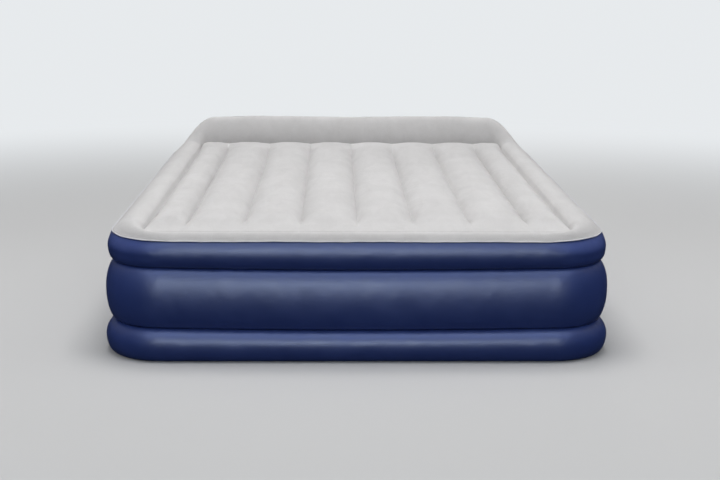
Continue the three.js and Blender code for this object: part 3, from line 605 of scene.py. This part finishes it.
def tier(cols, z, inset):
    """Insets and heights of a tier's outer line; z and inset are (lower edge, widest, upper)."""
    a = np.linspace(-math.pi / 2, math.pi / 2, cols)
    low = a < 0
    z_low, z_mid, z_high = z
    in_low, in_mid, in_high = inset
    height = np.where(
        low, z_mid + (z_mid - z_low) * np.sin(a), z_mid + (z_high - z_mid) * np.sin(a)
    )
    back = 1 - np.cos(a)
    return np.where(low, in_mid + (in_low - in_mid) * back, in_mid + (in_high - in_mid) * back), height


def hung(ring, inset, z, low, high):
    """The tier line at every station, its edges hanging by these shares of the sag."""
    rows = len(ring)
    w = (z - z[0]) / (z[-1] - z[0])
    height = np.repeat(z[None], rows, 0) - sag(ring)[:, None] * (low * (1 - w) + high * w)[None]
    return np.repeat(inset[None], rows, 0), height


def upper_line(ring, cols):
    inset, z = tier(
        cols,
        z=(UPPER_WAIST_Z + TIER_GAP, UPPER_Z, SEAM_Z - SEAM_GAP),
        inset=(WAIST_IN, UPPER_IN, SEAM_IN),
    )
    # above its widest line the tier leans in to the seam and takes on the seam's corners
    t = np.clip((z - UPPER_Z) / (SEAM_Z - UPPER_Z), 0, 1)
    inset = np.where(t > 0, UPPER_IN + (SEAM_IN - UPPER_IN) * t**2, inset)
    inset, height = hung(ring, inset, z, low=1.0, high=0.0)
    rise = np.clip((z - UPPER_WAIST_Z) / 0.03, 0, 1)
    return inset + rounder(ring)[:, None] * (0.3 + 0.7 * t**1.5)[None] * rise[None], height


def middle_line(ring, cols):
    line = tier(
        cols,
        z=(LOWER_WAIST_Z + TIER_GAP, PUMP_Z, UPPER_WAIST_Z - TIER_GAP),
        inset=(WAIST_IN, MIDDLE_IN, WAIST_IN),
    )
    return hung(ring, *line, low=1.0, high=1.0)


def lower_line(ring, cols):
    line = tier(
        cols, z=(TIER_GAP, LOWER_Z, LOWER_WAIST_Z - TIER_GAP), inset=(FOOT_IN, 0.0, WAIST_IN)
    )
    return hung(ring, *line, low=0.0, high=1.0)


def band(name, node, line, cols, cap, at_pump=False):
    grid = place(RING, *line(RING, cols))
    coarse = place(SIM_RING, *line(SIM_RING, 14))
    held = False
    if at_pump:
        grid, coarse = flattened(grid), flattened(coarse)
        held = in_opening(coarse, margin=0.02)
    grid = creased("sim_" + name, grid, coarse, held, slack=0.03, cap=cap, span=8, share=0.14)
    drop = in_opening(grid, margin=0.0) if at_pump else None
    give(shell(name, grid, drop=drop, touching=True), NAVY, "navy_vinyl", node)


band("upper_tier", "upper_side_band", upper_line, cols=30, cap=0.0018)
band("middle_tier", "middle_side_band", middle_line, cols=40, cap=0.0024, at_pump=True)
band("lower_tier", "lower_side_band", lower_line, cols=30, cap=0.0018)


# ------------------------------------------------------------ sleeping surface
def field_rows(count):
    """y of the rows, which crowd together at the ends."""
    edge = np.array([0, 0.002, 0.005, 0.009, 0.014, 0.020, 0.028, 0.037, 0.048])
    mid = np.linspace(FIELD_Y0 + 0.060, FIELD_Y1 - 0.060, count - 2 * len(edge))
    return np.r_[FIELD_Y0 + edge, mid, (FIELD_Y1 - edge)[::-1]]


def field_grid(per_channel, rows):
    """Eight channels, each drawn from one valley to the next, domed at both ends.
    The sheet goes on a little way under the rim on all sides."""
    rows = np.r_[FIELD_Y0 - 0.016, FIELD_Y0 - 0.005, rows, FIELD_Y1 + 0.005, FIELD_Y1 + 0.016]
    u = np.arange(8 * per_channel + 1) / per_channel
    k = np.minimum(np.floor(u).astype(int), 7)
    w = u - k
    # columns crowd together near the valleys
    w = w - 0.145 * np.sin(2 * math.pi * w)
    outer = FIELD_HALF_X + 0.003
    valleys = np.array([-outer] + [n * CHANNEL_PITCH for n in range(-3, 4)] + [outer])
    x = valleys[k] + (valleys[k + 1] - valleys[k]) * w
    x = np.r_[x[0] - 0.016, x[0] - 0.005, x, x[-1] + 0.005, x[-1] + 0.016]
    side = np.minimum(np.abs(u), np.abs(u - 8))
    # the welded valleys lie a little lower than the field's outer edge
    outermost = np.clip(1 - side * 4, 0, 1)
    # the outer edge of the field always comes down to the rim
    edge_drop = 1 - (1 - np.clip(side * 2.5, 0, 1)) ** 3
    soft = 0.016     # rounds off the foot of the channel profile
    heights = []
    for y in rows:
        from_foot, from_head = y - FIELD_Y0, FIELD_Y1 - y
        # a round end at the bolster, a gentle ramp up from the foot rim
        e = min(1.0, max(0.0, from_head) / 0.060)
        ramp = float(smoothstep(from_foot, -0.01, 0.17))
        dome = math.sqrt(max(0.0, 1 - (1 - e) ** 2)) ** 0.8 * ramp
        c = (1 - np.abs(2 * w - 1) ** 2.7) ** 0.78
        c = (np.sqrt(c * c + soft) - math.sqrt(soft)) / (math.sqrt(1 + soft) - math.sqrt(soft))
        # the valleys run out before the ends of the field
        run = float(smoothstep(from_foot, -0.03, 0.26) * smoothstep(from_head, -0.02, 0.17))
        c = (1 - (1 - c) * run) * edge_drop
        deep = (VALLEY_Z - WELD_Z) * (1 - outermost) * dome
        top = CREST_Z + 0.003 * smoothstep(y, -0.2, 0.8)
        base = VALLEY_Z + 0.0115 * (1 - smoothstep(from_foot, 0, 0.14)) - deep
        z = base + (top - base) * c * dome - 0.5 * max(0.0, -min(from_foot, from_head))
        heights.append(np.r_[z[0] - 0.008, z[0] - 0.0025, z, z[-1] - 0.0025, z[-1] - 0.008])
    z = np.array(heights)
    return np.stack([np.repeat(x[None], len(rows), 0), np.repeat(rows[:, None], len(x), 1), z], -1)


def field():
    grid = field_grid(18, field_rows(230))
    per_channel = 10
    even_rows = FIELD_Y0 + (FIELD_Y1 - FIELD_Y0) * np.linspace(0, 1, 106)
    coarse = field_grid(per_channel, even_rows)
    pins = np.zeros(coarse.shape[:2], bool)
    pins[:3] = pins[-3:] = True
    pins[:, :3] = pins[:, -3:] = True
    pins[:, 2:-2:per_channel] = True    # the valleys
    relief = cloth_relief("sim_field", coarse, pins, False, slack=0.03, cap=0.0026, span=8)
    rows_at = np.interp(grid[:, 0, 1], coarse[:, 0, 1], np.arange(coarse.shape[0]))
    last = coarse.shape[1] - 1
    cols_at = np.r_[0, 1, np.linspace(2, last - 2, grid.shape[1] - 4), last - 1, last]
    lift = upsample(relief, rows_at, cols_at, False)
    grid = grid + 0.35 * grid_normals(grid, False) * lift[..., None]
    # columns reversed, so that the normals point up
    skin = shell("flocked_field", grid[:, ::-1].copy(), wrap=False)
    give(skin, FLOCK, "flocked_top", "top_sheet")


field()


# -------------------------------------------------------- base and inner sheets
def rounded_sheet(cols_x, cols_y, half_x, half_y, r):
    """x and y of a square grid mapped on to a rounded rectangle."""
    u, v = np.linspace(-1, 1, cols_x), np.linspace(-1, 1, cols_y)
    u, v = np.meshgrid(u, v, indexing="ij")
    x, y = u * half_x, v * half_y
    qx = np.maximum(np.abs(x) - (half_x - r), 0)
    qy = np.maximum(np.abs(y) - (half_y - r), 0)
    reach = np.hypot(qx, qy)
    pull = np.where(reach > 1e-9, np.maximum(qx, qy) / np.maximum(reach, 1e-9), 1.0)
    x = np.sign(x) * (np.abs(x) - qx + qx * pull)
    y = np.sign(y) * (np.abs(y) - qy + qy * pull)
    return x, y


def base_sheet():
    """The bottom, with the weld lines of the base webs."""
    inset = FOOT_IN + 0.0018
    x, y = rounded_sheet(61, 81, HALF_X - inset, HALF_Y - inset, CORNER_R - inset)
    from_weld = np.abs(np.abs(x) - WEB_PITCH) - WEB_PITCH / 2
    z = 0.0006 * np.exp(-(from_weld / 0.006) ** 2) * (np.abs(y) < WEB_HALF_Y)
    # reversed, so that the normals point down
    grid = np.stack([x, y, z], -1)[:, ::-1].copy()
    give(shell("base_sheet", grid, wrap=False), BASE_VINYL, "navy_vinyl", "bottom_sheet")


base_sheet()


def waist_sheet(name, node, z):
    """A level sheet across a waist, with four round holes and edges that follow the sag."""
    hole_r = 0.045
    inset = WAIST_IN + SKIN
    half_x, half_y = HALF_X - inset - 0.0004, HALF_Y - inset - 0.0004
    x, y = rounded_sheet(73, 97, half_x, half_y, CORNER_R - inset)
    hole = np.zeros(x.shape, bool)
    for cx in (-0.5, 0.5):
        for cy in (-0.7, 0.7):
            # points inside a hole move out to its edge
            d = np.hypot(x - cx, y - cy)
            hole |= d < hole_r
            moves = (d < hole_r) & (d > 1e-6)
            spread = np.where(moves, (hole_r - 0.0001) / np.maximum(d, 1e-6), 1.0)
            x = cx + (x - cx) * spread
            y = cy + (y - cy) * spread
    in_x, in_y = half_x - np.abs(x), half_y - np.abs(y)
    side = 0.7 * np.clip(1 - (y / STRAIGHT_Y) ** 2, 0, 1)
    foot = np.clip(1 - (x / STRAIGHT_X) ** 2, 0, 1) * (y < 0)
    hang = WAIST_SAG * np.where(in_x < in_y, side, foot)
    height = z + 0.0005 - hang * np.exp(-(np.minimum(in_x, in_y) / 0.05) ** 2)
    skin = shell(name, np.stack([x, y, height], -1), thick=0.001, wrap=False, drop=hole)
    give(skin, INNER_VINYL, "inner_vinyl", node)


waist_sheet("upper_tie_sheet", "upper_waist_sheet", UPPER_WAIST_Z)
waist_sheet("lower_tie_sheet", "lower_waist_sheet", LOWER_WAIST_Z)


def web(name, node, x, z0, z1):
    """An upright strip along y, slightly rippled, its ends drawn in at mid height."""
    t, w = np.meshgrid(np.linspace(-1, 1, 110), np.linspace(0, 1, 17), indexing="ij")
    arch = 4 * w * (1 - w)
    y = t * (WEB_HALF_Y - 0.030 * arch * np.abs(t) ** 6)
    ripple = 0.0006 * np.sin(y * 38 + w * 3) * arch
    grid = np.stack([x + ripple, y, z0 + (z1 - z0) * w], -1)
    give(shell(name, grid, thick=0.0008, wrap=False), INNER_VINYL, "inner_vinyl", node)


for k in range(1, 8):
    web(
        f"channel_tie_{k}", f"channel_beam_{k}", (k - 4) * CHANNEL_PITCH,
        UPPER_WAIST_Z + WEB_GAP, WELD_Z - 0.0016,
    )
for k in range(1, 5):
    x = (k - 2.5) * WEB_PITCH
    web(
        f"middle_tie_{k}", f"middle_web_{k}", x, LOWER_WAIST_Z + WEB_GAP, UPPER_WAIST_Z - WEB_GAP
    )
    web(f"base_tie_{k}", f"base_web_{k}", x, 0.0016, LOWER_WAIST_Z - WEB_GAP)


# ----------------------------------------------------------------------- pump
# The collar's closed section, by how far it is grown from the faceplate's edge:
# over the wall's outer face and in to the opening (grow, height over the wall),
COLLAR_FACE = [
    (0.0245, -0.0008), (0.0242, 0.0006), (0.0232, 0.0013), (0.0215, 0.0016), (0.0190, 0.0017),
    (0.0172, 0.0011), (0.0160, 0.0017), (0.0130, 0.0018), (0.0112, 0.0012), (0.0100, 0.0018),
    (0.0075, 0.0020), (0.0050, 0.0021), (0.0030, 0.0018), (0.0016, 0.0008), (0.0009, -0.0012),
]
# a hook behind the opening's edge (grow, y),
COLLAR_HOOK = [
    (0.0006, 0.9960), (0.0006, 0.9905), (0.0030, 0.9895), (0.0060, 0.9905), (0.0065, 0.9960),
]
# and back along the inside of the wall (grow, height over the wall)
COLLAR_BACK = [(0.0090, -0.0035), (0.0150, -0.0032), (0.0210, -0.0026)]


def wall_y(x, z):
    """Outer face of the middle tier near the pump."""
    above, below = UPPER_WAIST_Z - 0.0008 - PUMP_Z, PUMP_Z - LOWER_WAIST_Z - 0.0008
    s = np.clip((z - PUMP_Z) / np.where(z > PUMP_Z, above, below), -1, 1)
    y = HALF_Y - MIDDLE_IN - (WAIST_IN - MIDDLE_IN) * (1 - np.sqrt(1 - s * s))
    return flat_at_pump(x, y, z)


def rounded_loop(half_x, half_z, r, count):
    """Points round a rounded rectangle, evenly spaced, as x and z from its centre."""
    cx, cz = half_x - r, half_z - r
    points = []
    for sx, sz, start in ((1, 1, 0), (-1, 1, 90), (-1, -1, 180), (1, -1, 270)):
        for i in range(25):
            a = math.radians(start + 90 * i / 24)
            points.append((sx * cx + r * math.cos(a), sz * cz + r * math.sin(a)))
    p = np.array(points + points[:1])
    length = np.r_[0, np.cumsum(np.hypot(*np.diff(p, axis=0).T))]
    at = np.linspace(0, length[-1], count, endpoint=False)
    return np.interp(at, length, p[:, 0]), np.interp(at, length, p[:, 1])


def collar():
    count = 220
    half_x, half_z, r = PLATE
    rings = []
    for section, on_wall in ((COLLAR_FACE, True), (COLLAR_HOOK, False), (COLLAR_BACK, True)):
        for grow, level in section:
            x, z = rounded_loop(half_x + grow, half_z + min(grow, 0.0175), r + grow * 0.8, count)
            x, z = PUMP_X + x, PUMP_Z + z
            y = wall_y(x, z) + level if on_wall else np.full(count, level)
            rings.append(np.column_stack([x, y, z]))
    grid = np.stack(rings, 1)
    faces = grid_faces(count, len(rings), True, True).tolist()
    ob = new_mesh("pump_collar_flange", grid.reshape(-1, 3), faces)
    give(ob, NAVY, "navy_vinyl", "pump_collar")


collar()

# CAD nodes that are shown as they are: (material, slot, names)
CAD_LOOKS = [
    (CHARCOAL, "charcoal_plastic", [
        "pump_faceplate", "selector_knob", "cord_door", "switch_body", "power_plug"]),
    (GREY, "grey_plastic", [
        "pump_housing", "selector_spindle", "diverter_drum", "diverter_sleeve", "cord_tray",
        "motor_end_cap", "fan_impeller", "fan_casing", "valve_guide", "valve_disc"]),
    (RED, "red_plastic", ["rocker_switch"]),
    (RUBBER, "black_rubber", [
        "faceplate_gasket", "power_cord", "cord_grommet", "motor_mount", "motor_lead"]),
    (SEAL, "seal_rubber", ["valve_seal"]),
    (STEEL, "steel", [
        "faceplate_screw_1", "faceplate_screw_2", "faceplate_screw_3", "faceplate_screw_4",
        "door_hinge_pin", "motor_can", "motor_shaft", "impeller_nut"]),
    (BRASS, "brass", ["plug_blade_1", "plug_blade_2", "valve_retainer"]),
    (COPPER, "copper_winding", ["motor_armature"]),
    (FOAM, "foam", ["intake_filter"]),
]
# Bevel widths; the other nodes take 0.0003
BEVELS = {
    "pump_faceplate": 0.0006, "selector_knob": 0.0008, "cord_door": 0.0005,
    "switch_body": 0.0004, "power_plug": 0.0015, "pump_housing": 0.0006,
    "rocker_switch": 0.0006,
}


def dress(name, mat):
    ob = NODES[name]
    ob.data.materials.clear()
    ob.data.materials.append(mat)
    ob.data.polygons.foreach_set("use_smooth", [True] * len(ob.data.polygons))
    weld = ob.modifiers.new("weld", "WELD")
    weld.merge_threshold = 2e-5
    bevel = ob.modifiers.new("edge", "BEVEL")
    bevel.width = BEVELS.get(name, 0.0003)
    bevel.segments = 2
    bevel.limit_method = "ANGLE"
    bevel.angle_limit = math.radians(35)
    bevel.use_clamp_overlap = True
    bevel.harden_normals = False
    # flat faces stay flat, round ones smooth
    split = ob.modifiers.new("split", "EDGE_SPLIT")
    split.split_angle = math.radians(20)
    normals = ob.modifiers.new("normals", "WEIGHTED_NORMAL")
    normals.weight = 100


for mat, slot, names in CAD_LOOKS:
    for name in names:
        dress(name, mat)


def valve_spring():
    """The valve's return spring between guide and retainer, built as one fixed coil, though the real
    one is pressed flat as the valve opens.
    """
    turns, coil_r, wire_r = 3, 0.0042, 0.00055
    t = np.linspace(0, 1, turns * 24 + 1)
    a = t * turns * 2 * math.pi
    x, z = KNOB_X + coil_r * np.cos(a), KNOB_Z + coil_r * np.sin(a)
    coil = np.column_stack([x, PUMP_Y - 0.099 - 0.016 * t, z])
    along = np.gradient(coil, axis=0)
    along /= np.linalg.norm(along, axis=1, keepdims=True)
    radial = np.column_stack([np.cos(a), np.zeros_like(a), np.sin(a)])
    third = np.cross(along, radial)
    around = np.linspace(0, 2 * math.pi, 10, endpoint=False)[None, :, None]
    offset = np.cos(around) * radial[:, None] + np.sin(around) * third[:, None]
    wire = coil[:, None] + wire_r * offset
    rows, cols = wire.shape[:2]
    faces = grid_faces(rows, cols, False, True).tolist()
    faces += [list(range(cols)), list(range((rows - 1) * cols, rows * cols))[::-1]]
    spring = new_mesh("valve_return_spring", wire.reshape(-1, 3), faces)
    bm = bmesh.new()
    bm.from_mesh(spring.data)
    bmesh.ops.recalc_face_normals(bm, faces=bm.faces)
    bm.to_mesh(spring.data)
    bm.free()
    give(spring, STEEL, "steel", "valve_spring")
    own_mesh(spring)


valve_spring()

# ------------------------------------------------------------ stage and camera
BACKDROP = (0.80, 0.825, 0.845)


def studio_floor():
    """A floor that melts into the backdrop far from the bed."""
    corners = [(-60, -60, 0), (60, -60, 0), (60, 60, 0), (-60, 60, 0)]
    floor = new_mesh("floor", corners, [(0, 1, 2, 3)], smooth=False)
    k = Mat("studio_floor")
    k.done(color=(0.60, 0.595, 0.59), rough=0.85, Specular_IOR_Level=0.1)
    length = k.node("VectorMath")
    length.operation = "LENGTH"
    k.link(k.coords, length.inputs[0])
    glow = k.node("Emission")
    k.feed(BACKDROP, glow.inputs[0])
    mix = k.node("MixShader")
    far = map_range(k.tree, length.outputs["Value"], span=(1.6, 5.0), to=(0, 1), smooth=True)
    k.link(far, mix.inputs[0])
    k.link(k.shader.outputs[0], mix.inputs[1])
    k.link(glow.outputs[0], mix.inputs[2])
    k.link(mix.outputs[0], k.output.inputs[0])
    floor.data.materials.append(k.material)
    floor.visible_glossy = False
    floor.visible_diffuse = False


studio_floor()


def studio_world():
    """The camera sees the backdrop; the bed is lit by a sky that brightens upwards."""
    world = bpy.data.worlds.new("studio")
    bpy.context.scene.world = world
    world.use_nodes = True
    tree = world.node_tree
    tree.nodes.clear()
    new, link = tree.nodes.new, tree.links.new
    output = new("ShaderNodeOutputWorld")
    seen = new("ShaderNodeBackground")
    seen.inputs[0].default_value = (*BACKDROP, 1)
    sky = new("ShaderNodeBackground")
    sky.inputs[0].default_value = (0.94, 0.97, 1.0, 1)
    split = new("ShaderNodeSeparateXYZ")
    link(new("ShaderNodeTexCoord").outputs["Generated"], split.inputs[0])
    strength = map_range(
        tree, split.outputs["Z"], span=(-0.10, 0.60), to=(0.02, 0.32), smooth=True
    )
    link(strength, sky.inputs[1])
    mix = new("ShaderNodeMixShader")
    link(new("ShaderNodeLightPath").outputs["Is Camera Ray"], mix.inputs[0])
    link(sky.outputs[0], mix.inputs[1])
    link(seen.outputs[0], mix.inputs[2])
    link(mix.outputs[0], output.inputs[0])


studio_world()


def area(name, at, target, size, power, color=(1, 1, 1)):
    """A rectangular light, size (x, y), aimed at the target."""
    light = bpy.data.lights.new(name, "AREA")
    light.shape = "RECTANGLE"
    light.size, light.size_y = size
    light.energy, light.color = power, color
    ob = bpy.data.objects.new(name, light)
    ob.location = at
    ob.rotation_mode = "QUATERNION"
    ob.rotation_quaternion = (Vector(target) - Vector(at)).to_track_quat("-Z", "Y")
    bpy.context.scene.collection.objects.link(ob)
    return ob


def gloss(name, at, target_x, size, power):
    """A bluish light on the foot wall that shows only in reflections."""
    ob = area(name, at, (target_x, -1.0, 0.25), size, power, color=(0.66, 0.80, 1.0))
    ob.visible_diffuse = False


area("overhead", at=(0, -0.45, 4.6), target=(0, -0.3, 0), size=(2.6, 2.6), power=138)
for side in (-1, 1):
    lamp = area("side", at=(4.2 * side, -0.3, 2.4), target=(0, 0, 0.3), size=(2.6, 1.6), power=26)
    lamp.visible_glossy = False
area(
    "front", at=(0, -7.4, 1.70), target=(0, -1.0, 0.25), size=(4.4, 1.1), power=90,
    color=(0.88, 0.94, 1.0),
)
gloss("front_gloss", at=(-0.1, -7.4, 1.66), target_x=-0.1, size=(3.6, 1.1), power=155)
gloss("front_gloss_left", at=(-1.35, -7.4, 1.66), target_x=-1.35, size=(1.8, 1.1), power=56)
gloss("top_gloss", at=(0, -4.4, 3.9), target_x=0, size=(5.0, 2.4), power=90)
gloss("high_gloss", at=(0, -2.3, 3.9), target_x=0, size=(5.0, 1.8), power=90)
for x, power in ((-2.7, 40), (2.7, 30)):
    gloss("side_gloss", at=(x, -4.2, 3.7), target_x=0.4 * x, size=(1.8, 2.0), power=power)
area("back", at=(0.6, 6.2, 1.0), target=(0, 1.0, 0.22), size=(3.6, 1.0), power=85)


def add_camera(at, lens, pitch, yaw, roll):
    """Looks along +Y, turned down by pitch, towards +X by yaw, and rolled, in degrees."""
    cam = bpy.data.cameras.new("camera")
    cam.sensor_width = 36.0
    cam.lens = lens
    cam.clip_start, cam.clip_end = 0.05, 200
    ob = bpy.data.objects.new("camera", cam)
    bpy.context.scene.collection.objects.link(ob)
    pitch, yaw, roll = math.radians(pitch), math.radians(yaw), math.radians(roll)
    level = math.cos(pitch)
    forward = Vector((math.sin(yaw) * level, math.cos(yaw) * level, -math.sin(pitch)))
    across = Vector((math.cos(yaw), -math.sin(yaw), 0))
    upward = across.cross(forward)
    right_axis = across * math.cos(roll) + upward * math.sin(roll)
    up_axis = upward * math.cos(roll) - across * math.sin(roll)
    ob.location = at
    ob.rotation_mode = "QUATERNION"
    axes = Matrix((right_axis, up_axis, -forward)).transposed()
    ob.rotation_quaternion = axes.to_quaternion()
    bpy.context.scene.camera = ob


add_camera(at=(-0.0687, -4.794, 1.1664), lens=67.185, pitch=11.893, yaw=1.099, roll=0.314)
bpy.context.scene.view_settings.view_transform = "Standard"
